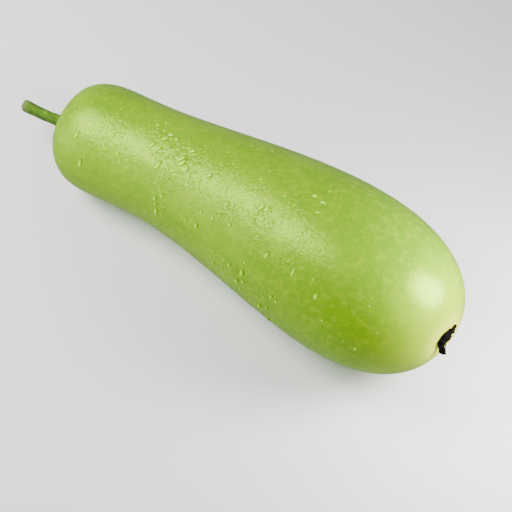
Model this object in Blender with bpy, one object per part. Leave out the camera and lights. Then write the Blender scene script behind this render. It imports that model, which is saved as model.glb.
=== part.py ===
"""Bottle gourd, young and freshly picked: the fruit, its cut stem and its withered flower.

Metres, +Z up.  The gourd lies on the surface z = 0 with its stem towards -X, and the
middle of its bounding box is over the origin.  Each piece is first drawn about the
fruit's own straight axis (the axis frame) and is then laid down by one parent empty.
"""
import math

import bmesh
import bpy
from mathutils import Matrix, Vector
from mathutils.bvhtree import BVHTree

# ---- fruit ---------------------------------------------------------------------------
BODY_LENGTH = 0.290                     # pole to pole
GIRTH = (0.0921, 0.0121, 0.0460, 0.0407, 0.0504, 0.0675, 0.0685)  # control radii
BOW = (0, 0.0050, 0.0137, 0.0123, 0.0075, 0)                      # sideways controls
STEM_BLUNT = 0.92                       # 1 is an ellipse, less is blunter
TAIL_BLUNT = 0.80
LOBES = 5                               # soft lengthwise lobes
LOBE_DEPTH = 0.006                      # share of the radius
LUMP_DEPTH = 0.005                      # share of the radius
STEM_DIMPLE = (0.0016, 0.0085)          # depth, radius
TAIL_DIMPLE = (0.0009, 0.0080)
FLAT_DEPTH = 0.0010                     # how far the resting spots are pressed flat
BODY_SIDES = 56
BODY_RINGS = 50

# ---- stem ----------------------------------------------------------------------------
STEM_LENGTH = 0.037
STEM_RADIUS = 0.0036
STEM_FOOT = 0.0064                      # radius of the flared foot
STEM_END = 0.0042                       # radius at the cut, where it swells a little
STEM_LEAN = (0.0000, -0.0012)           # where the cut end leans to: sideways, upwards
STEM_BEND = (-0.0008, -0.0012)          # how far its middle bends: sideways, upwards
STEM_RIBS = 5
RIB_DEPTH = 0.085                       # share of the radius
CUT_DISH = 0.0008                       # hollow of the cut face
STEM_SIDES = 40
STEM_RINGS = 14

# ---- withered flower: a crumpled band of dried petals, curled part-way round the scar ---
FLOWER_REACH = 0.0078                   # middle of the band to the middle of the scar
FLOWER_START = math.radians(14)         # where its thin hooked tip lies about the scar
FLOWER_SWEEP = math.radians(196)        # how far the band curls round
FLOWER_HALF_WIDTH = 0.0034
FLOWER_HEIGHT = 0.0040
FLOWER_TIP = 0.30                       # size of the hooked tip, as a share of the band
FLOWER_HOOK = 0.0018                    # how far the tip curls outwards
FLOWER_CRINKLE = 0.20                   # share of the width and height
FLOWER_LOOPS = 46
FLOWER_SIDES = 20

GAP = 0.0003                            # clearance between touching pieces


def ease(share):
    """A soft step from 0 to 1."""
    return share * share * (3 - 2 * share)


def bezier(controls, share):
    """Smooth curve steered by controls that are evenly spaced from stem to tail."""
    last = len(controls) - 1
    return sum(math.comb(last, i) * share**i * (1 - share)**(last - i) * control
               for i, control in enumerate(controls))


def centre(share):
    """Point of the bowed axis, at a share of the length from the stem."""
    return Vector(((share - 0.5) * BODY_LENGTH, bezier(BOW, share), 0))


def heading(share):
    """Direction of the bowed axis, from stem to tail."""
    step = 0.001
    return (centre(share + step) - centre(share - step)).normalized()


def cross_axes(forward):
    """Sideways and upward directions of a cross-section."""
    side = Vector((0, 0, 1)).cross(forward).normalized()
    return side, forward.cross(side)


def skin_radius(share, turn):
    """Radius of the skin with its soft lobes and one long slow lump."""
    blunt = STEM_BLUNT + (TAIL_BLUNT - STEM_BLUNT) * ease(share)
    rounded = (4 * share * (1 - share))**(blunt / 2)
    lobes = LOBE_DEPTH * math.cos(LOBES * turn + 1.8 * share)
    lumps = LUMP_DEPTH * math.sin(2.3 * math.pi * share + turn)
    return rounded * bezier(GIRTH, share) * (1 + lobes + lumps)


def skin_point(share, turn):
    """Point of the skin, drawn in softly round the stem and the flower."""
    forward = heading(share)
    side, up = cross_axes(forward)
    radius = skin_radius(share, turn)
    depth, width = STEM_DIMPLE if share < 0.5 else TAIL_DIMPLE
    inward = forward if share < 0.5 else -forward
    sink = depth * math.exp(-(radius / width)**2)
    around = side * math.cos(turn) + up * math.sin(turn)
    return centre(share) + around * radius + inward * sink


def turns(sides):
    return [2 * math.pi * i / sides for i in range(sides)]


def closed_skin(rings):
    """Closed mesh through rings of points; the first and last rings are single points."""
    mesh = bmesh.new()
    rows = [[mesh.verts.new(point) for point in ring] for ring in rings]
    for near, far in zip(rows, rows[1:]):
        sides = max(len(near), len(far))
        for i in range(sides):
            j = (i + 1) % sides
            corners = [near[i % len(near)], near[j % len(near)],
                       far[j % len(far)], far[i % len(far)]]
            mesh.faces.new(list(dict.fromkeys(corners)))
    bmesh.ops.recalc_face_normals(mesh, faces=mesh.faces)
    return mesh


def make_fruit():
    rings = [[skin_point(0, 0)]]
    for i in range(1, BODY_RINGS):
        share = (1 - math.cos(math.pi * i / BODY_RINGS)) / 2
        rings.append([skin_point(share, turn) for turn in turns(BODY_SIDES)])
    rings.append([skin_point(1, 0)])
    return closed_skin(rings)


def laid_down(fruit):
    """Turn and lift that rest the fruit on its belly and on its stem-end shoulder."""
    points = [vert.co for vert in fruit.verts]
    tilt = Matrix()
    for _ in range(8):
        placed = [tilt @ point for point in points]
        shoulder = min((p for p in placed if p.x < 0), key=lambda p: p.z)
        belly = min((p for p in placed if p.x > 0), key=lambda p: p.z)
        slope = math.atan2(belly.z - shoulder.z, belly.x - shoulder.x)
        tilt = Matrix.Rotation(slope, 4, "Y") @ tilt
    lowest = min((tilt @ point).z for point in points)
    return Matrix.Translation((0, 0, -lowest - FLAT_DEPTH)) @ tilt


def press_flat(fruit, rest):
    """Cut the resting spots level with the surface the gourd lies on."""
    to_axis_frame = rest.inverted()
    level = to_axis_frame @ Vector((0, 0, 0))
    upward = to_axis_frame.to_3x3() @ Vector((0, 0, 1))
    everything = fruit.verts[:] + fruit.edges[:] + fruit.faces[:]
    cut = bmesh.ops.bisect_plane(fruit, geom=everything, plane_co=level, plane_no=upward,
                                 clear_inner=True)
    rims = [item for item in cut["geom_cut"] if isinstance(item, bmesh.types.BMEdge)]
    bmesh.ops.holes_fill(fruit, edges=rims)
    bmesh.ops.recalc_face_normals(fruit, faces=fruit.faces)


class Seat:
    """The skin at one pole: finds points on it, a clearance off, out from the axis."""

    def __init__(self, fruit, share, outward):
        self.skin = BVHTree.FromBMesh(fruit)
        self.outward = outward
        self.pole = centre(share)
        self.side, self.up = cross_axes(heading(share))

    def point(self, radius, turn, height=0):
        """Point over the skin at a radius and turn about the pole, a height above it."""
        around = self.side * math.cos(turn) + self.up * math.sin(turn)
        above = self.pole + around * radius + self.outward * 0.03
        on_skin = self.skin.ray_cast(above, -self.outward)[0]
        return on_skin + self.outward * (GAP + height)


def loop_middle(loop):
    return sum(loop, Vector()) / len(loop)


def stem_ring(seat, share):
    """One ribbed ring of the stem's side, from its flared foot to the swollen cut."""
    foot = (1 - share)**6 * (STEM_FOOT - STEM_RADIUS)
    swell = share**4 * (STEM_END - STEM_RADIUS)
    radius = STEM_RADIUS + foot + swell
    bend = math.sin(math.pi * share)
    sideways = STEM_LEAN[0] * share**2 + STEM_BEND[0] * bend
    upwards = STEM_LEAN[1] * share**2 + STEM_BEND[1] * bend
    middle = (seat.point(0, 0) + seat.outward * STEM_LENGTH * share
              + seat.side * sideways + seat.up * upwards)
    ring = []
    for turn in turns(STEM_SIDES):
        ribbed = radius * (1 + RIB_DEPTH * math.cos(STEM_RIBS * turn))
        around = seat.side * math.cos(turn) + seat.up * math.sin(turn)
        ring.append(middle + around * ribbed)
    return ring


def make_stem(seat):
    """Ribbed stalk that stands on the skin at the stem end and ends in a cut face."""
    rim = [STEM_FOOT * (1 + RIB_DEPTH * math.cos(STEM_RIBS * turn))
           for turn in turns(STEM_SIDES)]
    rings = [[seat.point(0, 0)]]
    for part in (1 / 3, 2 / 3, 1):
        rings.append([seat.point(radius * part, turn)
                      for radius, turn in zip(rim, turns(STEM_SIDES))])
    foot_height = 0.05
    for i in range(STEM_RINGS + 1):
        share = foot_height + (1 - foot_height) * i / STEM_RINGS
        rings.append(stem_ring(seat, share))
    cut = rings[-1]
    middle = loop_middle(cut)
    for part, sink in ((0.88, -0.25), (0.5, 0.6)):
        rings.append([middle.lerp(point, part) - seat.outward * CUT_DISH * sink
                      for point in cut])
    rings.append([middle - seat.outward * CUT_DISH])
    return closed_skin(rings)


def flower_loop(seat, share):
    """One crinkled loop round the band of petals, from its hooked tip to its blunt end."""
    filled = FLOWER_TIP + (1 - FLOWER_TIP) * ease(min(1, share / 0.3))
    ragged = 1 + FLOWER_CRINKLE * (math.sin(19 * share + 1) + 0.6 * math.sin(43 * share))
    half_width = FLOWER_HALF_WIDTH * filled * ragged
    height = FLOWER_HEIGHT * filled * (2 - ragged)
    hook = FLOWER_HOOK * max(0, 1 - share / 0.16)
    reach = FLOWER_REACH + hook + 0.0005 * math.sin(11 * share)
    turn = FLOWER_START + FLOWER_SWEEP * share
    loop = []
    for angle in turns(FLOWER_SIDES):
        fold = 0.6 * math.sin(4 * angle + 31 * share) + 0.4 * math.sin(7 * angle - 47 * share)
        crinkled = 1 + FLOWER_CRINKLE * fold
        across = half_width * math.cos(angle) * crinkled
        above = height * (0.5 + 0.5 * math.sin(angle)) * crinkled
        loop.append(seat.point(reach + across, turn, above))
    return loop


def make_flower(seat):
    """Withered flower that is still stuck to the tail of the fruit, round its scar."""
    loops = [flower_loop(seat, i / FLOWER_LOOPS) for i in range(FLOWER_LOOPS + 1)]
    tip, end = loop_middle(loops[0]), loop_middle(loops[-1])
    return closed_skin([[tip]] + loops + [[end]])


def material(name, colour, roughness):
    made = bpy.data.materials.new(name)
    made.use_nodes = True
    shader = made.node_tree.nodes["Principled BSDF"]
    shader.inputs["Base Color"].default_value = (*colour, 1)
    shader.inputs["Roughness"].default_value = roughness
    shader.inputs["Metallic"].default_value = 0
    return made


def add_piece(name, mesh, finish, parent):
    data = bpy.data.meshes.new(name)
    mesh.to_mesh(data)
    mesh.free()
    data.materials.append(finish)
    data.shade_smooth()
    data.set_sharp_from_angle(angle=math.radians(40))
    piece = bpy.data.objects.new(name, data)
    piece.parent = parent
    bpy.context.scene.collection.objects.link(piece)


def box_middle(meshes, rest):
    """Middle of the laid-down gourd's bounding box, at the height of the surface."""
    placed = [rest @ vert.co for mesh in meshes for vert in mesh.verts]
    across = [(min(values) + max(values)) / 2
              for values in ([p.x for p in placed], [p.y for p in placed])]
    return Vector((*across, 0))


def build():
    for old in list(bpy.data.objects):
        bpy.data.objects.remove(old)

    fruit = make_fruit()
    rest = laid_down(fruit)
    stem = make_stem(Seat(fruit, 0, -heading(0)))
    flower = make_flower(Seat(fruit, 1, heading(1)))
    press_flat(fruit, rest)

    gourd = bpy.data.objects.new("gourd", None)
    bpy.context.scene.collection.objects.link(gourd)
    middle = box_middle((fruit, stem, flower), rest)
    gourd.matrix_world = Matrix.Translation(-middle) @ rest

    skin = material("green_skin", (0.36, 0.52, 0.075), 0.38)
    stalk = material("green_stalk", (0.20, 0.33, 0.06), 0.55)
    dried = material("dried_petals", (0.022, 0.016, 0.010), 0.85)
    add_piece("fruit", fruit, skin, gourd)
    add_piece("stem", stem, stalk, gourd)
    add_piece("dried_blossom", flower, dried, gourd)


build()
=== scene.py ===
"""Looks of a young bottle gourd, freshly washed: skin, water beads, stalk, dry flower.

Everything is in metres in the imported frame.  The gourd lies on z = 0, its stalk towards
-X and its withered flower towards +X.  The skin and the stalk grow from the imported
solids that they stand for; the water beads and the flower then sit on that skin.
"""
import math
import random

import bmesh
import bpy
from mathutils import Matrix, Vector, noise
from mathutils.bvhtree import BVHTree


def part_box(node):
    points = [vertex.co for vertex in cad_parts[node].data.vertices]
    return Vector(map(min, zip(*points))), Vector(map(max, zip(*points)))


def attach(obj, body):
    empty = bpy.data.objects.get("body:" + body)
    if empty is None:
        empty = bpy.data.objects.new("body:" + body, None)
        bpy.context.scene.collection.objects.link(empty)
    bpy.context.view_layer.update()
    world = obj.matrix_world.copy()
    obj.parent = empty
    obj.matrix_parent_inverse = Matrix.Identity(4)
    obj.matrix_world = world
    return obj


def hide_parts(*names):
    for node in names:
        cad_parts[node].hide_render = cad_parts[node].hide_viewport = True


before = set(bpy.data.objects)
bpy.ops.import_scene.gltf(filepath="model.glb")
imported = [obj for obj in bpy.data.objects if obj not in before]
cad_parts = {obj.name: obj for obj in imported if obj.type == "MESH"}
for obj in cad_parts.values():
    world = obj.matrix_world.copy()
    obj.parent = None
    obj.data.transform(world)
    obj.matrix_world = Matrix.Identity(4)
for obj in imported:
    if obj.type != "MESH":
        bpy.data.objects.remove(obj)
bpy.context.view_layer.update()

# Sizes are in metres and colours are linear.  A cloudy pattern is given by the size of
# its patches, how many finer layers it has, and how rough those are; two values of it
# then say where it starts to show and where it shows in full.  A stretch has four
# places: where it starts, where it is full, where it starts to fade, and its end.  The
# numbers that weigh one pattern against another stand in the sums themselves.
WELD = 0.00002                      # corners closer than this are one corner
QUAD_BEND = math.radians(25)        # two triangles become one quad where they bend less
QUAD_SKEW = math.radians(80)        # and where its corners are within this of square

# ---- the skin --------------------------------------------------------------------------
LEAF_GREEN = (0.185, 0.385, 0.001)
DEEP_GREEN = (0.145, 0.325, 0.000)
PALE_GREEN = (0.330, 0.480, 0.001)
CREAM = (0.740, 0.800, 0.060)
SCAR_BROWN = (0.330, 0.280, 0.090)
SHEEN_TINT = (0.57, 1.00, 0.06, 1)
SKIN_SPLITS = 2
SKIN_RELIEF = 0.00035               # height of the soft swells of the skin
SKIN_WAVE = (0.090, 0.030, 0.030)   # their length and their width
LENGTHWISE = (0.16, 1, 1)           # draws the streaks out along the gourd
STREAKS = (0.012, 2.0)
CLOUDS = (0.026, 2.0)
MOTTLE = (0.0042, 3.0, 0.6)
FLECKS = (0.0013, 2.0, 0.6)
GRAIN = (0.0006, 1.0)
GIRDLE = (0.020, 0.095, 0.105, 0.140)       # darker green round the belly, along X
DEEP_SHOWS = (0.38, 0.66)
MOTTLE_SHOWS, MOTTLE_SHARE = (0.44, 0.70), 0.46
FLECKS_SHOW, FLECKS_SHARE = (0.58, 0.70), 0.40
# Tints round the flower's scar: full as far as this, gone at that, its share, the tint
SCAR_TINTS = ((0.012, 0.062, 0.90, PALE_GREEN), (0.009, 0.026, 0.85, CREAM),
              (0.005, 0.009, 0.45, SCAR_BROWN))
SCAR_RAGGED = 0.006                 # how far the mottle moves their edges
SCAR_SMOOTH = (0.045, 0.080)        # the skin is smoother and glossier round the scar
STEM_SHADE = (0.006, 0.014)         # and of a deeper green round the stalk
STEM_SHARE = 0.70
MISTED = (-0.110, -0.070, 0.040, 0.100)     # where fine water clings, along X
MIST_PATCHES, MIST_SHOWS = (0.020, 2.0), (0.30, 0.60)
MIST_SIZE, DROPLET_SIZE = 0.0016, 0.0036    # spacing of these domes of water
DOME = (0.05, 0.52)                 # a dome's top and its foot, in spacings
DOMES_SCATTER = 0.9                 # 0 would be a regular grid
SKIN_ROUGHNESS = 0.25
SKIN_BUMP = 0.00050

# ---- the stalk -------------------------------------------------------------------------
STALK_GREEN = (0.070, 0.155, 0.016)
STALK_DARK = (0.036, 0.088, 0.010)
CUT_OLIVE = (0.150, 0.185, 0.080)
STALK_SPLITS = 2
STALK_RELIEF = 0.00030
STALK_WAVE = (0.028, 0.0035, 0.0035)        # length and width of its swells
STALK_LONGER = 0.0021               # the looks' stalk reaches this much further
STALK_SWAY = Vector((0.0001, -0.0009, -0.00045))
FIBRES, FIBRES_SHOW = (0.0009, 3.0, 0.6), (0.35, 0.70)
FIBRES_LENGTHWISE = (0.10, 1, 1)
BLOTCHES, BLOTCHES_SHOW, BLOTCHES_SHARE = (0.0045, 2.0), (0.50, 0.75), 0.35
CUT_DRYING = (-0.0055, 0.0005)      # from the cut end: where it starts to dry, and is dry
CUT_RAGGED, CUT_SHARE = 0.003, 0.8
STALK_ROUGHNESS = 0.42
STALK_BUMP = 0.00025

# ---- the withered flower ---------------------------------------------------------------
PETAL_BLACK = (0.0012, 0.0007, 0.0008)
PETAL_BROWN = (0.0200, 0.0080, 0.0070)
PETAL_CREASES = (0.0012, 3.0, 0.65)
PETAL_PATCHES = (0.0028, 2.0)
BROWN_SHOWS = (0.45, 0.95)
PETAL_ROUGHNESS = 0.72
PETAL_BUMP = 0.0004
# The ring of petals round the scar, of which nearly half is left: turn from +Y towards
# +Z in degrees, then inner radius, outer radius and height in millimetres.
RING_PROFILE = ((6, 7.9, 8.7, 1.0), (20, 6.3, 8.5, 1.6), (35, 4.8, 8.0, 2.1),
                (55, 3.5, 7.6, 2.6), (75, 2.9, 7.9, 3.1), (95, 2.7, 9.3, 3.5),
                (115, 2.6, 10.0, 3.7), (135, 2.7, 9.6, 3.5), (150, 3.1, 8.6, 2.9),
                (162, 3.6, 6.6, 2.5), (172, 4.0, 5.6, 2.3))
RING_LOOPS = 150
RING_SIDES = 36
RING_SINK = 0.0004                  # it sits this deep in the skin
RING_THIN = 0.002                   # where it is narrower than this, it crumples less
PLEATS = 7.5                        # pleats to a radian of its turn
PLEAT_DEPTH = 0.34
SEAT_CAST = 0.03                    # the skin's surface is sought from this far out
CRINKLE = 0.00095                   # depth of the creases
BROAD_CREASE = 0.0026
FINE_CREASE = 0.0010
FINE_SHARE = 0.55                   # depth of the fine ones, as a share of the broad
FINE_SHIFT = Vector((0.031, 0.017, 0.009))  # or the fine ones would follow the broad
CREASE_STEEP = 2.2                  # the higher, the narrower each crease
# The crumpled petal that hangs from its end: turn in degrees, then radius, height above
# the skin and half width in millimetres.
HANGING_PETAL = ((163, 4.2, 1.6, 1.0), (172, 4.8, 1.9, 1.1), (186, 5.9, 2.6, 1.9),
                 (200, 7.0, 3.4, 2.0), (209, 7.6, 4.0, 1.7), (213, 7.9, 4.2, 1.0))
PETAL_LOOPS = 50
PETAL_FLATNESS = 0.62
SCRAPS = 46                         # loose dry ends of petals that stand off the ring
SCRAP_SEED = 5
SCRAP_STARTS = (0.10, 1.0)          # along the ring, as a share of its way
SCRAP_SPREAD = 0.7                  # across it, as a share of its width
SCRAP_HEIGHTS = (0.3, 0.75)         # up its side, as a share of its height
SCRAP_LENGTH = (0.0014, 0.0040)
SCRAP_WIDTH = (0.0003, 0.0013)      # half
SCRAP_THICK = 0.00013               # half
SCRAP_END = 0.00005                 # half the width that is left at its end
SCRAP_TAPER = 0.45
SCRAP_CURL = 0.2
SCRAP_TWIST = 1.8                   # in radians, either way
SCRAP_ROLL = 1.4                    # how far its edges roll up
SCRAP_NOTCHES = (4, 11)             # how ragged its edges are, in radians along it
NOTCH_DEPTH = 0.35
SCRAP_STEPS = 14
SCRAP_SIDES = 12

# ---- the water beads -------------------------------------------------------------------
# Bead colours: painted shade at a bead's edge and painted gathered light at its core
BEAD_PAINTED_SHADE = (0.185, 0.400, 0.000)
BEAD_PAINTED_LIGHT = (0.600, 1.000, 0.010)
WATER_ROUGHNESS = 0.02
WATER_IOR = 1.33
WATER_CLEARNESS = 0.35
BEAD_SMALLEST = 0.00048             # radius of a bead on the skin
BEAD_LARGEST = 0.00165
FEW_LARGE = 2.2                     # the higher, the fewer large ones
BEAD_SPACING = 0.0029
BEAD_DENSITY = 95000                # beads on a square metre where they are thickest
BEAD_SEED = 11
SPRAYED_FROM = (-0.15, -0.62, 0.77)
SPRAY_REACH = (0.35, 0.98)          # how squarely the skin has to face the spray
BEADED = (-0.095, -0.050, 0.020, 0.080)     # where beads are thickest, along X
BEAD_PATCHES, BEADS_SHOW = (0.020, 2.0), (0.42, 0.60)
RUN_DOWN = (1.0, 2.6)               # a bead's length downhill, in radii
RUN_SEED = 5
BEAD_BREADTH, BEAD_HEIGHT = 0.95, 0.62      # in radii
BEAD_LIFT = 0.12                    # from the skin up to the ball's middle, in radii
BEAD_SEGMENTS, BEAD_RINGS = 10, 6
PAINTED_LIGHT_CORE = (0.22, 0, 0)                 # where a bead's painted light is centred, downhill of its middle, in radii
PAINTED_LIGHT_FADES = (0.50, 0.95)           # and how far from there the painted light fades into painted shade, in radii
PAINTED_LIGHT_MARK = "from_painted_light"

# ---- the stage -------------------------------------------------------------------------
FLOOR_WHITE = (0.900, 0.905, 0.900)
FLOOR_CLOUDS = (0.15, 2.0)
FLOOR_SHADE = 0.985                 # its darker clouds, as a share of its white
FLOOR_ROUGHNESS = 0.7
FLOOR_BUMP = 0.0001
FLOOR_REACH = 3.0
ROOM_LIGHT = 0.39
# Soft boxes: name, place, the point that each shines on, width and height, watts
LAMPS = (("overhead_left", (-0.44, -0.19, 0.61), (-0.04, 0.0, 0.05), (0.36, 0.34), 8.8),
         ("low_left", (-0.50, -0.42, 0.26), (-0.10, -0.02, 0.05), (0.40, 0.40), 1.7),
         ("flower_end", (0.245, 0.048, 0.159), (0.14, -0.01, 0.07), (0.078, 0.112), 1.3))
CAMERA_LENS, CAMERA_SENSOR = 85.0, 36.0     # in millimetres
CAMERA_AZIMUTH = math.radians(36.64)
CAMERA_ELEVATION = math.radians(59.58)
CAMERA_DISTANCE = 0.7466
CAMERA_AIM = Vector((0.0316, -0.0167, 0.0351))


# ---- writing node trees as sums --------------------------------------------------------
class Value:
    """A number inside a node tree.  Sums written on it add the tree's Math nodes."""

    def __init__(self, tree, socket):
        self.tree, self.socket = tree, socket

    def reckon(self, operation, *values):
        """What a Math node makes of these values."""
        return self.tree.add("ShaderNodeMath", {"operation": operation},
                             dict(enumerate(values)))["Value"]

    def __add__(self, other):
        return self.reckon("ADD", self, other)

    def __sub__(self, other):
        return self.reckon("SUBTRACT", self, other)

    def __rsub__(self, other):
        return self.reckon("SUBTRACT", other, self)

    def __mul__(self, other):
        return self.reckon("MULTIPLY", self, other)

    def __pow__(self, other):
        return self.reckon("POWER", self, other)

    __radd__, __rmul__ = __add__, __mul__

    def at_least(self, low):
        """Itself, or the low value where it is less."""
        return self.reckon("MAXIMUM", self, low)

    def between(self, start, end):
        """0 before start, 1 after end and a soft step from one to the other."""
        settings = {"interpolation_type": "SMOOTHSTEP", "clamp": True}
        sockets = {"Value": self, "From Min": start, "From Max": end}
        return self.tree.add("ShaderNodeMapRange", settings, sockets)["Result"]

    def fading(self, start, end):
        """1 before start, 0 after end and a soft step from one to the other."""
        return 1 - self.between(start, end)

    def within(self, start, full, fades, end):
        """1 over the middle of a stretch, 0 outside it and soft steps between."""
        return self.between(start, full) * self.fading(fades, end)


class Made:
    """A node that has been added; its outputs are read by name or by number."""

    def __init__(self, tree, node):
        self.tree, self.node = tree, node

    def __getitem__(self, output):
        return Value(self.tree, self.node.outputs[output])


class Tree:
    """A shader or geometry tree, written from first node to last."""

    def __init__(self, tree):
        self.tree = tree
        self.nodes = tree.nodes

    def add(self, kind, settings=None, sockets=None):
        """Add a node of a kind, with its settings made first and then its sockets."""
        node = self.nodes.new(kind)
        for name, setting in (settings or {}).items():
            setattr(node, name, setting)
        for name, value in (sockets or {}).items():
            if isinstance(value, Value):
                self.tree.links.new(value.socket, node.inputs[name])
            else:
                node.inputs[name].default_value = value
        return Made(self, node)

    def mix(self, factor, first, second):
        """Colour between two colours."""
        colours = [(*c, 1) if isinstance(c, tuple) else c for c in (first, second)]
        return self.add("ShaderNodeMix", {"data_type": "RGBA"},
                        {0: factor, 6: colours[0], 7: colours[1]})[2]

    def coated(self, colour, *coats):
        """A colour with others laid over it in turn, each by its own share."""
        for share, coat in coats:
            colour = self.mix(share, colour, coat)
        return colour

    def pair(self, operation, first, second):
        """What a Vector Math node makes of two vectors."""
        return self.add("ShaderNodeVectorMath", {"operation": operation},
                        {0: first, 1: second})

    def scaled(self, vector, scale):
        """A position times a number, or times three numbers for its three axes."""
        scale = scale if isinstance(scale, tuple) else (scale,) * 3
        return self.pair("MULTIPLY", vector, scale)["Vector"]

    def distance(self, position, point):
        """How far a position is from a fixed point."""
        return self.pair("DISTANCE", position, tuple(point))["Value"]

    def facing(self, vector, direction):
        """How far a vector reaches in a fixed direction."""
        return self.pair("DOT_PRODUCT", vector, tuple(direction))["Value"]

    def noise(self, position, size, detail=2.0, roughness=0.5):
        """Cloudy pattern from 0 to 1, whose patches are about that size."""
        return self.add("ShaderNodeTexNoise", None,
                        {"Vector": self.scaled(position, 1 / size), "Scale": 1.0,
                         "Detail": detail, "Roughness": roughness})[0]

    def domes(self, position, size):
        """Round bumps scattered over the surface: 1 at their tops, 0 between them."""
        cells = self.add("ShaderNodeTexVoronoi", {"feature": "F1"},
                         {"Vector": self.scaled(position, 1 / size), "Scale": 1.0,
                          "Randomness": DOMES_SCATTER})["Distance"]
        return cells.fading(*DOME)

    def shaped(self, kind, sockets, settings=None):
        """The geometry that one more geometry node gives."""
        return self.add("GeometryNode" + kind, settings, sockets)["Geometry"]


# ---- finishes --------------------------------------------------------------------------
class Finish(Tree):
    """A new Principled material, and the patterns that are written into it."""

    def __init__(self, name, **constants):
        self.material = bpy.data.materials.new(name)
        self.material.use_nodes = True
        super().__init__(self.material.node_tree)
        self.shader = self.nodes["Principled BSDF"]
        for socket, value in constants.items():
            self.shader.inputs[socket.replace("_", " ")].default_value = value

    def place(self):
        """The place on the piece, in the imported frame."""
        return self.add("ShaderNodeTexCoord")["Object"]

    def lead(self, socket, value):
        """Lead a pattern into one of the shader's sockets."""
        self.tree.links.new(value.socket, self.shader.inputs[socket])

    def wear(self, colour, roughness, height, depth):
        """Give the material its colour, its roughness and bumps of that depth."""
        bump = self.add("ShaderNodeBump", None,
                        {"Strength": 1.0, "Distance": depth, "Height": height})
        self.lead("Base Color", colour)
        self.lead("Roughness", roughness)
        self.lead("Normal", bump["Normal"])
        return self.material


def waxy_skin(stem_root, scar):
    """Pale green rind: lengthwise streaks, fine pale flecks, cream round the scar."""
    rind = Finish("waxy_skin", Specular_IOR_Level=1.0, Specular_Tint=SHEEN_TINT)
    place = rind.place()
    streaks = rind.noise(rind.scaled(place, LENGTHWISE), *STREAKS)
    clouds, mottle, flecks, grain = (
        rind.noise(place, *pattern) for pattern in (CLOUDS, MOTTLE, FLECKS, GRAIN))
    from_scar = rind.distance(place, scar)
    from_stem = rind.distance(place, stem_root)
    along = rind.add("ShaderNodeSeparateXYZ", None, {0: place})["X"]

    girdle = along.within(*GIRDLE)
    deep = (streaks * 0.55 + clouds * 0.45 + girdle * 0.30).between(*DEEP_SHOWS)
    ragged = from_scar + mottle * SCAR_RAGGED
    scar_coats = [(ragged.fading(full, gone) * share, tint)
                  for full, gone, share, tint in SCAR_TINTS]
    colour = rind.coated(LEAF_GREEN, (deep, DEEP_GREEN),
                         (mottle.between(*MOTTLE_SHOWS) * MOTTLE_SHARE, PALE_GREEN),
                         (flecks.between(*FLECKS_SHOW) * FLECKS_SHARE, PALE_GREEN),
                         *scar_coats,
                         (from_stem.fading(*STEM_SHADE) * STEM_SHARE, DEEP_GREEN))

    patches = rind.noise(place, *MIST_PATCHES).between(*MIST_SHOWS)
    misted = patches * along.within(*MISTED)
    mist = rind.domes(place, MIST_SIZE) * misted
    droplets = rind.domes(place, DROPLET_SIZE) * misted
    smoother = from_scar.fading(*SCAR_SMOOTH)
    roughness = (mottle * 0.10 + flecks * 0.06 + SKIN_ROUGHNESS
                 - mist * 0.10 - smoother * 0.02)
    pores = (mottle * 0.35 + flecks * 0.30 + grain * 0.15) * (1 - smoother * 0.3)
    height = pores + (mist * 0.36 + droplets * 0.48)
    return rind.wear(colour, roughness, height, SKIN_BUMP)


def ribbed_stalk(root, tip):
    """Fibrous green stalk, darker in its grooves, with a drying olive cut face."""
    stalk = Finish("ribbed_stalk", Specular_IOR_Level=0.3, Specular_Tint=SHEEN_TINT)
    place = stalk.place()
    run, reach = (tip - root).normalized(), (tip - root).length
    along = stalk.facing(place, run) - root.dot(run)
    fibres = stalk.noise(stalk.scaled(place, FIBRES_LENGTHWISE), *FIBRES)
    blotches = stalk.noise(place, *BLOTCHES)
    starts, dry = (reach + from_end for from_end in CUT_DRYING)
    drying = (along + blotches * CUT_RAGGED).between(starts, dry)
    colour = stalk.coated(STALK_DARK, (fibres.between(*FIBRES_SHOW), STALK_GREEN),
                          (blotches.between(*BLOTCHES_SHOW) * BLOTCHES_SHARE, LEAF_GREEN),
                          (drying * CUT_SHARE, CUT_OLIVE))
    return stalk.wear(colour, fibres * 0.2 + STALK_ROUGHNESS, fibres, STALK_BUMP)


def dried_petal():
    """Nearly black withered tissue, browner on its thin edges and creases."""
    tissue = Finish("dried_petal", Specular_IOR_Level=0.08)
    place = tissue.place()
    creases = tissue.noise(place, *PETAL_CREASES)
    patches = tissue.noise(place, *PETAL_PATCHES)
    browner = (creases * patches * 2.2).between(*BROWN_SHOWS)
    colour = tissue.mix(browner, PETAL_BLACK, PETAL_BROWN)
    return tissue.wear(colour, creases * 0.2 + PETAL_ROUGHNESS, creases, PETAL_BUMP)


def clear_water():
    """Water on green skin, its colour painted: painted gathered light at a bead's core
    and painted shade towards its edge.
    """
    water = Finish("clear_water", Roughness=WATER_ROUGHNESS, IOR=WATER_IOR,
                   Transmission_Weight=WATER_CLEARNESS)
    from_painted_light = water.add("ShaderNodeAttribute", {"attribute_name": PAINTED_LIGHT_MARK})["Fac"]
    # painted light at the core, fading to painted shade at the edge
    painted_shade_share = from_painted_light.between(*PAINTED_LIGHT_FADES)
    water.lead("Base Color", water.mix(painted_shade_share, BEAD_PAINTED_LIGHT, BEAD_PAINTED_SHADE))
    return water.material


def matt_floor():
    """Plain pale floor, with clouds too faint to notice."""
    paint = Finish("matt_floor")
    clouds = paint.noise(paint.place(), *FLOOR_CLOUDS)
    colour = paint.mix(clouds, FLOOR_WHITE, tuple(FLOOR_SHADE * c for c in FLOOR_WHITE))
    return paint.wear(colour, clouds * 0.05 + FLOOR_ROUGHNESS, clouds, FLOOR_BUMP)


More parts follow.
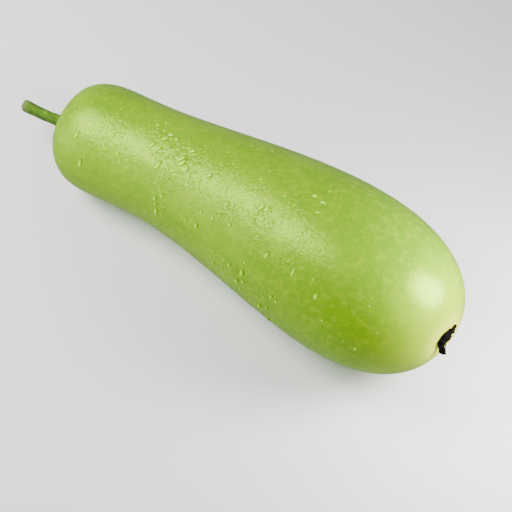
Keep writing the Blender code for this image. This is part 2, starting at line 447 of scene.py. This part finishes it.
# ---- pieces and the geometry trees that grow them --------------------------------------
def add_object(name, data):
    """A new object in the scene, at the origin."""
    added = bpy.data.objects.new(name, data)
    bpy.context.scene.collection.objects.link(added)
    return added


def mesh_data(name, mesh):
    """What was modelled, as mesh data with that name."""
    data = bpy.data.meshes.new(name)
    mesh.to_mesh(data)
    mesh.free()
    return data


def welded(node):
    """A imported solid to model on, its loose triangles joined."""
    mesh = bmesh.new()
    mesh.from_mesh(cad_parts[node].data)
    bmesh.ops.remove_doubles(mesh, verts=mesh.verts, dist=WELD)
    return mesh


def copied_piece(name, node):
    """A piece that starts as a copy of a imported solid, its triangles made quads."""
    mesh = welded(node)
    bmesh.ops.join_triangles(mesh, faces=mesh.faces, angle_face_threshold=QUAD_BEND,
                             angle_shape_threshold=QUAD_SKEW)
    return add_object(name, mesh_data(name, mesh))


def poles(node):
    """Where a solid's lengthwise lines meet: its stem side, then its flower side."""
    mesh = welded(node)
    meeting = sorted(mesh.verts, key=lambda corner: len(corner.link_edges))[-2:]
    ends = sorted((corner.co.copy() for corner in meeting), key=lambda point: point.x)
    mesh.free()
    return ends


def geometry_tree(name, inputs):
    """A geometry tree to write in, and its named inputs."""
    group = bpy.data.node_groups.new(name, "GeometryNodeTree")
    inward = [("INPUT", *item) for item in {"Geometry": "Geometry", **inputs}.items()]
    for side, label, kind in [*inward, ("OUTPUT", "Geometry", "Geometry")]:
        group.interface.new_socket(label, in_out=side, socket_type="NodeSocket" + kind)
    tree = Tree(group)
    return tree, tree.add("NodeGroupInput")


def close_tree(tree, geometry, material):
    """End a geometry tree: real faces, smooth, in their material."""
    real = tree.shaped("RealizeInstances", {"Geometry": geometry})
    smooth = tree.shaped("SetShadeSmooth", {"Geometry": real})
    dressed = tree.shaped("SetMaterial", {"Geometry": smooth, "Material": material})
    tree.add("NodeGroupOutput", None, {"Geometry": dressed})
    return tree.tree


def grow(piece, group, values):
    """Run a geometry tree on a piece and keep the result; inputs go by identifier."""
    modifier = piece.modifiers.new("grow", "NODES")
    modifier.node_group = group
    for item in group.interface.items_tree:
        if item.in_out == "INPUT" and item.name in values:
            modifier[item.identifier] = values[item.name]
    graph = bpy.context.evaluated_depsgraph_get()
    grown = bpy.data.meshes.new_from_object(piece.evaluated_get(graph), depsgraph=graph)
    piece.modifiers.remove(modifier)
    piece.data = grown
    grown.name = piece.name


def uneven_surface():
    """Geometry tree: splits a solid finely and raises soft swells on it."""
    inputs = {"Splits": "Int", "Relief": "Float", "Wave": "Vector",
              "Material": "Material"}
    tree, given = geometry_tree("uneven_surface", inputs)
    fine = tree.add("GeometryNodeSubdivisionSurface", None,
                    {"Mesh": given["Geometry"], "Level": given["Splits"]})["Mesh"]
    position = tree.add("GeometryNodeInputPosition")["Position"]
    normal = tree.add("GeometryNodeInputNormal")["Normal"]
    swells = tree.noise(tree.pair("DIVIDE", position, given["Wave"])["Vector"], 1.0)
    rise = (swells - 0.5) * given["Relief"] * 2.0
    outward = tree.add("ShaderNodeVectorMath", {"operation": "SCALE"},
                       {0: normal, "Scale": rise})["Vector"]
    raised = tree.shaped("SetPosition", {"Geometry": fine, "Offset": outward})
    # nothing reaches below the surface that the gourd lies on
    parts = tree.add("ShaderNodeSeparateXYZ", None, {0: position})
    above = tree.add("ShaderNodeCombineXYZ", None,
                     {0: parts["X"], 1: parts["Y"], 2: parts["Z"].at_least(0.0)})
    laid = tree.shaped("SetPosition", {"Geometry": raised, "Position": above["Vector"]})
    return close_tree(tree, laid, given["Material"])


def bead_shape(tree, position):
    """A ball of radius 1 that knows how far each place on it is from its core of painted
    light.
    """
    ball = tree.add("GeometryNodeMeshUVSphere", None,
                    {"Radius": 1.0, "Segments": BEAD_SEGMENTS, "Rings": BEAD_RINGS})
    from_painted_light = tree.distance(tree.scaled(position, (1, 1, 0)), PAINTED_LIGHT_CORE)
    marked = tree.shaped(
        "StoreNamedAttribute",
        {"Geometry": ball["Mesh"], "Name": PAINTED_LIGHT_MARK, "Value": from_painted_light},
        {"data_type": "FLOAT"})
    return tree.shaped("Transform",
                       {"Geometry": marked, "Translation": (0, 0, BEAD_LIFT)})


def water_beads():
    """Geometry tree: beads of water that cling to the skin, thick in some places."""
    inputs = {"Smallest": "Float", "Largest": "Float", "Spacing": "Float",
              "Density": "Float", "Seed": "Int", "Material": "Material"}
    tree, given = geometry_tree("water_beads", inputs)
    position = tree.add("GeometryNodeInputPosition")["Position"]
    normal = tree.add("GeometryNodeInputNormal")["Normal"]
    along = tree.add("ShaderNodeSeparateXYZ", None, {0: position})["X"]
    wetted = tree.facing(normal, SPRAYED_FROM).between(*SPRAY_REACH)
    middle = along.within(*BEADED)
    patches = tree.noise(position, *BEAD_PATCHES).between(*BEADS_SHOW)
    thick = wetted * (middle * 0.92 + 0.08) * (patches * 0.85 + 0.15)
    drops = tree.add("GeometryNodeDistributePointsOnFaces",
                     {"distribute_method": "POISSON"},
                     {"Mesh": given["Geometry"], "Distance Min": given["Spacing"],
                      "Density Max": given["Density"], "Density Factor": thick,
                      "Seed": given["Seed"]})
    luck = tree.add("FunctionNodeRandomValue", {"data_type": "FLOAT"},
                    {"Seed": given["Seed"]})[1]
    spread = given["Largest"] - given["Smallest"]
    size = given["Smallest"] + spread * luck ** FEW_LARGE
    # some have begun to run, so they are longer downhill
    downhill = tree.add("FunctionNodeAlignRotationToVector",
                        {"axis": "X", "pivot_axis": "Z"},
                        {"Rotation": drops["Rotation"], "Vector": (0, 0, -1)})["Rotation"]
    stretch = tree.add("FunctionNodeRandomValue", {"data_type": "FLOAT"},
                       {2: RUN_DOWN[0], 3: RUN_DOWN[1], "Seed": RUN_SEED})[1]
    shape = tree.add("ShaderNodeCombineXYZ", None,
                     {0: size * stretch, 1: size * BEAD_BREADTH, 2: size * BEAD_HEIGHT})
    beads = tree.add("GeometryNodeInstanceOnPoints", None,
                     {"Points": drops["Points"], "Instance": bead_shape(tree, position),
                      "Rotation": downhill, "Scale": shape["Vector"]})["Instances"]
    return close_tree(tree, beads, given["Material"])


def dress(piece, slot, *nodes):
    """Hang a finished piece on the root body and hide the solids that it stands for; its
    slot is not used.
    """
    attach(piece, "root")
    if nodes:
        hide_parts(*nodes)


def make_skin(surface, stem_root, scar):
    """The whole rind, grown from the fruit's solid."""
    skin = copied_piece("gourd_skin", "fruit")
    grow(skin, surface, {"Splits": SKIN_SPLITS, "Relief": SKIN_RELIEF, "Wave": SKIN_WAVE,
                         "Material": waxy_skin(stem_root, scar)})
    dress(skin, "skin", "fruit")
    return skin


def make_beads(skin):
    """The water on the skin."""
    beads = add_object("water_beads", skin.data.copy())
    grow(beads, water_beads(), {"Smallest": BEAD_SMALLEST, "Largest": BEAD_LARGEST,
                                "Spacing": BEAD_SPACING, "Density": BEAD_DENSITY,
                                "Seed": BEAD_SEED, "Material": clear_water()})
    beads.visible_shadow = False        # light reaches the skin through clear water
    dress(beads, "skin")


def make_stalk(surface):
    """The cut stalk, grown from its solid, then drawn out and bent a little."""
    stalk = copied_piece("cut_stalk", "stem")
    low, high = (Vector(corner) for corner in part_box("stem"))
    middle = (low + high) / 2
    root, tip = Vector((high.x, middle.y, high.z)), Vector((low.x, middle.y, low.z))
    grow(stalk, surface, {"Splits": STALK_SPLITS, "Relief": STALK_RELIEF,
                          "Wave": STALK_WAVE, "Material": ribbed_stalk(root, tip)})
    for corner in stalk.data.vertices:
        share = min(max((root.x - corner.co.x) / (root.x - tip.x), 0), 1)
        corner.co += Vector((-STALK_LONGER, 0, 0)) * share + STALK_SWAY * share ** 2
    dress(stalk, "stalk", "stem")


# ---- the withered flower ---------------------------------------------------------------
class ScarSeat:
    """Places on the skin round the flower's scar, by radius, turn and height above it."""

    def __init__(self, skin, stem_root, scar):
        mesh = bmesh.new()
        mesh.from_mesh(skin.data)
        self.skin = BVHTree.FromBMesh(mesh)
        mesh.free()
        self.scar = scar
        self.forward = (scar - stem_root).normalized()
        self.side = Vector((0, 0, 1)).cross(self.forward).normalized()
        self.up = self.forward.cross(self.side)

    def away(self, turn):
        """Direction away from the scar's middle, at a turn."""
        return self.side * math.cos(turn) + self.up * math.sin(turn)

    def point(self, radius, turn, height):
        """The place that lies this high above the skin."""
        start = self.scar + self.away(turn) * radius + self.forward * SEAT_CAST
        seat, _, _, _ = self.skin.ray_cast(start, -self.forward)
        return seat + self.forward * height


def once_round(sides):
    """Angles of equal steps once round."""
    return [2 * math.pi * side / sides for side in range(sides)]


def closed_tube(mesh, rings):
    """Join rings of points into one closed body, each end drawn together in a point."""
    loops = [[mesh.verts.new(point) for point in ring] for ring in rings]
    for near, far in zip(loops, loops[1:]):
        for i in range(len(near)):
            j = (i + 1) % len(near)
            mesh.faces.new((near[i], near[j], far[j], far[i]))
    for loop, order in ((loops[0], -1), (loops[-1], 1)):
        tip = mesh.verts.new(sum((v.co for v in loop), Vector()) / len(loop))
        ordered = loop[::order]
        for i, corner in enumerate(ordered):
            mesh.faces.new((corner, ordered[(i + 1) % len(loop)], tip))


def read_profile(profile, share):
    """What a profile says at a share of its way: a turn in radians, and sizes."""
    place = share * (len(profile) - 1)
    row = min(int(place), len(profile) - 2)
    blend = place - row
    mixed = [a + (b - a) * blend for a, b in zip(profile[row], profile[row + 1])]
    return math.radians(mixed[0]), *(value / 1000 for value in mixed[1:])


def crease(place, size):
    """Sharp folds: 0 along their lines and up to 1 between them."""
    return min(1, CREASE_STEEP * abs(noise.noise(place / size)))


def crumple(place):
    """Height of the dry tissue's creases at a place."""
    broad, fine = crease(place, BROAD_CREASE), crease(place + FINE_SHIFT, FINE_CREASE)
    return (broad - 0.5 + FINE_SHARE * (fine - 0.5)) * CRINKLE


def ring_section(seat, share):
    """One loop of crinkled outline across the withered ring."""
    turn, inner, outer, height = read_profile(RING_PROFILE, share)
    radius, half_width = (inner + outer) / 2, (outer - inner) / 2
    pleats = 1 + PLEAT_DEPTH * noise.noise(Vector((turn * PLEATS, 0.4, 0)))
    section = []
    for angle in once_round(RING_SIDES):
        across, above = math.cos(angle), 0.5 + 0.5 * math.sin(angle)
        place = seat.away(turn) * (radius + half_width * across) + seat.forward * (
            height * above)
        puffed = crumple(place) * min(1, half_width / RING_THIN)
        section.append(seat.point(
            radius + half_width * across * pleats + puffed * across, turn,
            (height * pleats + puffed) * above - RING_SINK))
    return section


def hanging_petal(seat):
    """Loops along the crumpled petal that hangs from the end of the ring."""
    rows = [read_profile(HANGING_PETAL, i / PETAL_LOOPS) for i in range(PETAL_LOOPS + 1)]
    middles = [seat.point(radius, turn, height) for turn, radius, height, _ in rows]
    loops = []
    for i, (middle, (_, _, _, half_width)) in enumerate(zip(middles, rows)):
        ahead, behind = middles[min(i + 1, PETAL_LOOPS)], middles[max(i - 1, 0)]
        along = (ahead - behind).normalized()
        across = along.cross(seat.forward).normalized()
        out = across.cross(along)
        loop = []
        for angle in once_round(RING_SIDES):
            spoke = across * math.cos(angle) * PETAL_FLATNESS + out * math.sin(angle)
            puffed = crumple(middle + spoke * half_width)
            loop.append(middle + spoke * (half_width + puffed))
        loops.append(loop)
    return loops


def scrap_loop(place, flat, thin, width, broad):
    """One loop round a petal end at a place: its edges rolled up, its face crumpled."""
    loop = []
    for angle in once_round(SCRAP_SIDES):
        across = flat * broad * math.cos(angle)
        rolled = thin * (SCRAP_ROLL * width * math.cos(angle) ** 2
                         + crumple(place + across) * 0.5)
        loop.append(place + across + rolled + thin * SCRAP_THICK * math.sin(angle))
    return loop


def petal_scrap(seat, luck):
    """Loops along one loose, twisted dry petal end that starts on the ring."""
    start = luck.uniform(*SCRAP_STARTS)
    turn, inner, outer, height = read_profile(RING_PROFILE, start)
    lean = luck.uniform(-1, 1)          # from the ring's inner edge to its outer one
    radius = (inner + outer) / 2 + SCRAP_SPREAD * (outer - inner) / 2 * lean
    place = seat.point(radius, turn, luck.uniform(*SCRAP_HEIGHTS) * height)
    along = seat.away(turn + math.pi / 2)
    heading = (seat.away(turn) * lean * 0.8 + seat.forward * luck.uniform(-0.1, 0.5)
               + along * luck.uniform(-1.0, 1.0)).normalized()
    curl = (along * luck.uniform(-1, 1)
            - seat.forward * luck.uniform(-0.3, 1.0)) * SCRAP_CURL
    length, width = luck.uniform(*SCRAP_LENGTH), luck.uniform(*SCRAP_WIDTH)
    twist = luck.uniform(-SCRAP_TWIST, SCRAP_TWIST)
    notches = luck.uniform(*SCRAP_NOTCHES)
    loops = []
    for step in range(SCRAP_STEPS + 1):
        share = step / SCRAP_STEPS
        outward = abs(heading.dot(seat.forward)) >= 0.9
        flat = heading.cross(along if outward else seat.forward).normalized()
        flat.rotate(Matrix.Rotation(twist * share, 3, heading))
        notched = 1 + NOTCH_DEPTH * math.sin(notches * share + lean * 5)
        broad = width * (1 - share) ** SCRAP_TAPER * notched + SCRAP_END
        loops.append(scrap_loop(place, flat, heading.cross(flat), width, broad))
        place = place + heading * length / SCRAP_STEPS
        heading = (heading + curl).normalized()
    return loops


def make_flower(skin, stem_root, scar):
    """The withered flower: a crinkled part of a ring, and loose scraps of petal on it."""
    seat, luck = ScarSeat(skin, stem_root, scar), random.Random(SCRAP_SEED)
    mesh = bmesh.new()
    closed_tube(mesh, [ring_section(seat, i / RING_LOOPS) for i in range(RING_LOOPS + 1)])
    closed_tube(mesh, hanging_petal(seat))
    for _ in range(SCRAPS):
        closed_tube(mesh, petal_scrap(seat, luck))
    bmesh.ops.recalc_face_normals(mesh, faces=mesh.faces)
    data = mesh_data("withered_flower", mesh)
    data.materials.append(dried_petal())
    data.shade_smooth()
    dress(add_object("withered_flower", data), "dried_flower", "dried_blossom")


# ---- floor, light and camera -----------------------------------------------------------
def lay_floor():
    """The floor that the gourd lies on."""
    sheet = bmesh.new()
    bmesh.ops.create_grid(sheet, x_segments=1, y_segments=1, size=FLOOR_REACH)
    data = mesh_data("floor", sheet)
    data.materials.append(matt_floor())
    ground = add_object("floor", data)
    ground.visible_glossy = False       # or its glare whitens the edges of the wet skin


def light_room():
    """An even white room."""
    world = bpy.data.worlds.new("white_room")
    world.use_nodes = True
    sky = world.node_tree.nodes["Background"].inputs
    sky["Color"].default_value, sky["Strength"].default_value = (1, 1, 1, 1), ROOM_LIGHT
    bpy.context.scene.world = world


def soft_lamp(name, place, aim, size, power):
    """A soft box at a place, which shines on a point and isn't seen itself."""
    lamp = bpy.data.lights.new(name, "AREA")
    lamp.shape, lamp.energy = "RECTANGLE", power
    lamp.size, lamp.size_y = size
    holder = add_object(name, lamp)
    place = Vector(place)
    turn = (Vector(aim) - place).to_track_quat("-Z", "Y")
    holder.matrix_world = Matrix.LocRotScale(place, turn, None)
    holder.visible_camera = False


def set_camera():
    """A camera that looks at the gourd from above its side."""
    level = math.cos(CAMERA_ELEVATION)
    back = Vector((math.sin(CAMERA_AZIMUTH) * level, -math.cos(CAMERA_AZIMUTH) * level,
                   math.sin(CAMERA_ELEVATION)))
    right = Vector((math.cos(CAMERA_AZIMUTH), math.sin(CAMERA_AZIMUTH), 0))
    turn = Matrix((right, back.cross(right), back)).transposed().to_4x4()
    lens = bpy.data.cameras.new("camera")
    lens.lens, lens.sensor_width = CAMERA_LENS, CAMERA_SENSOR
    camera = add_object("camera", lens)
    camera.matrix_world = Matrix.Translation(CAMERA_AIM + back * CAMERA_DISTANCE) @ turn
    bpy.context.scene.camera = camera


stem_root, scar = poles("fruit")
surface = uneven_surface()
skin = make_skin(surface, stem_root, scar)
make_beads(skin)
make_stalk(surface)
make_flower(skin, stem_root, scar)
lay_floor()
light_room()
for lamp in LAMPS:
    soft_lamp(*lamp)
set_camera()
